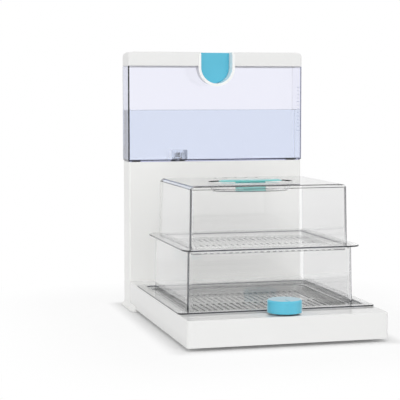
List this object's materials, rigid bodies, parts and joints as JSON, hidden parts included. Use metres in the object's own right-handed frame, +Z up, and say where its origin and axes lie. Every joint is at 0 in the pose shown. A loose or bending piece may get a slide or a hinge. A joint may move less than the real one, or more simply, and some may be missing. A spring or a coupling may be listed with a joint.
{
  "type": "electric food steamer",
  "caption": "Food steamer: flat base with a timer knob, rear tower with a lift-off water tank, and a stack of slotted trays in clear boxes under a lid with a sunk handle.",
  "frame": {"origin": "centre of the outline's bounding box, on the surface that the steamer stands on", "axes": "+Z up, +Y from the knob's end towards the tower, +X to the right as seen from the front"},
  "size_m": [0.293, 0.41, 0.398],
  "materials": {
    "white_abs": "glossy injection moulding",
    "clear_tank_plastic": "clear, faint blue tint",
    "clear_cover_plastic": "clear, polished mould",
    "smoke_plastic": "clear, smoke grey tint",
    "aqua_clear_plastic": "translucent turquoise",
    "grey_polypropylene": "plain moulding",
    "timer_case": "plain moulding",
    "foot_rubber": "matt",
    "silicone": "matt, pale",
    "cast_aluminium": "as cast",
    "tube_steel": "oxidised sheath",
    "sheet_steel": "zinc plated",
    "screw_steel": "zinc plated",
    "fuse_case": "ceramic look",
    "brass_shaft": "turned"
  },
  "bodies": {
    "root": {"base_housing": "white_abs", "base_bottom": "white_abs", "base_screws": "screw_steel", "rubber_feet": "foot_rubber", "stand": "white_abs", "stand_screws": "screw_steel", "tower_front": "white_abs", "tower_rear": "white_abs", "rear_screws": "screw_steel", "cord_gland": "foot_rubber", "tank_seat": "grey_polypropylene", "seat_seal": "silicone", "boiler": "cast_aluminium", "boiler_seal": "silicone", "boiler_cover": "cast_aluminium", "boiler_screws": "screw_steel", "heating_tube": "tube_steel", "boiler_bracket": "sheet_steel", "thermostat": "sheet_steel", "thermal_fuse": "fuse_case", "water_hose": "silicone", "hose_clips": "sheet_steel", "steam_duct": "grey_polypropylene", "steam_nozzle": "grey_polypropylene", "nozzle_seal": "silicone", "terminal_block": "grey_polypropylene", "timer_body": "timer_case", "timer_screws": "screw_steel"},
    "knob": {"timer_shaft": "brass_shaft", "timer_knob": "aqua_clear_plastic"},
    "tank": {"water_tank": "clear_tank_plastic", "tank_lugs": "clear_tank_plastic", "valve_cage": "clear_tank_plastic", "valve_spring": "sheet_steel"},
    "valve": {"valve_plunger": "grey_polypropylene", "valve_washer": "silicone"},
    "tank_cover": {"tank_lid": "white_abs", "lid_pocket": "white_abs", "pocket_back": "white_abs", "pocket_rim": "white_abs", "grip_liner": "aqua_clear_plastic"},
    "drip": {"drip_tray": "clear_cover_plastic"},
    "tray_low": {"lower_tray": "smoke_plastic"},
    "box_low": {"lower_box": "clear_cover_plastic"},
    "tray_mid": {"middle_tray": "smoke_plastic"},
    "cover": {"upper_lid": "clear_cover_plastic", "lid_handle": "aqua_clear_plastic", "handle_screws": "screw_steel"}
  },
  "joints": [
    {"name": "timer_turn", "type": "hinge", "parent": "root", "child": "knob", "pos_m": [0, -0.1808, 0.0436], "axis": [0, 0, -1], "range_deg": [0, 330]},
    {"name": "tank_lift", "type": "slide", "parent": "root", "child": "tank", "axis": [0, 0, 1], "range_m": [0, 0.08]},
    {"name": "valve_lift", "type": "slide", "parent": "tank", "child": "valve", "axis": [0, 0, 1], "range_m": [0, 0.003], "stiffness_N_per_m": 150, "springref_m": -0.002, "deforming": ["valve_spring"]},
    {"name": "tank_lid_lift", "type": "slide", "parent": "tank", "child": "tank_cover", "axis": [0, 0, 1], "range_m": [0, 0.08]},
    {"name": "drip_tray_lift", "type": "slide", "parent": "root", "child": "drip", "axis": [0, 0, 1], "range_m": [0, 0.06]},
    {"name": "lower_tray_lift", "type": "slide", "parent": "drip", "child": "tray_low", "axis": [0, 0, 1], "range_m": [0, 0.08]},
    {"name": "lower_box_lift", "type": "slide", "parent": "tray_low", "child": "box_low", "axis": [0, 0, 1], "range_m": [0, 0.12]},
    {"name": "middle_tray_lift", "type": "slide", "parent": "box_low", "child": "tray_mid", "axis": [0, 0, 1], "range_m": [0, 0.06]},
    {"name": "upper_lid_lift", "type": "slide", "parent": "tray_mid", "child": "cover", "axis": [0, 0, 1], "range_m": [0, 0.12]}
  ]
}
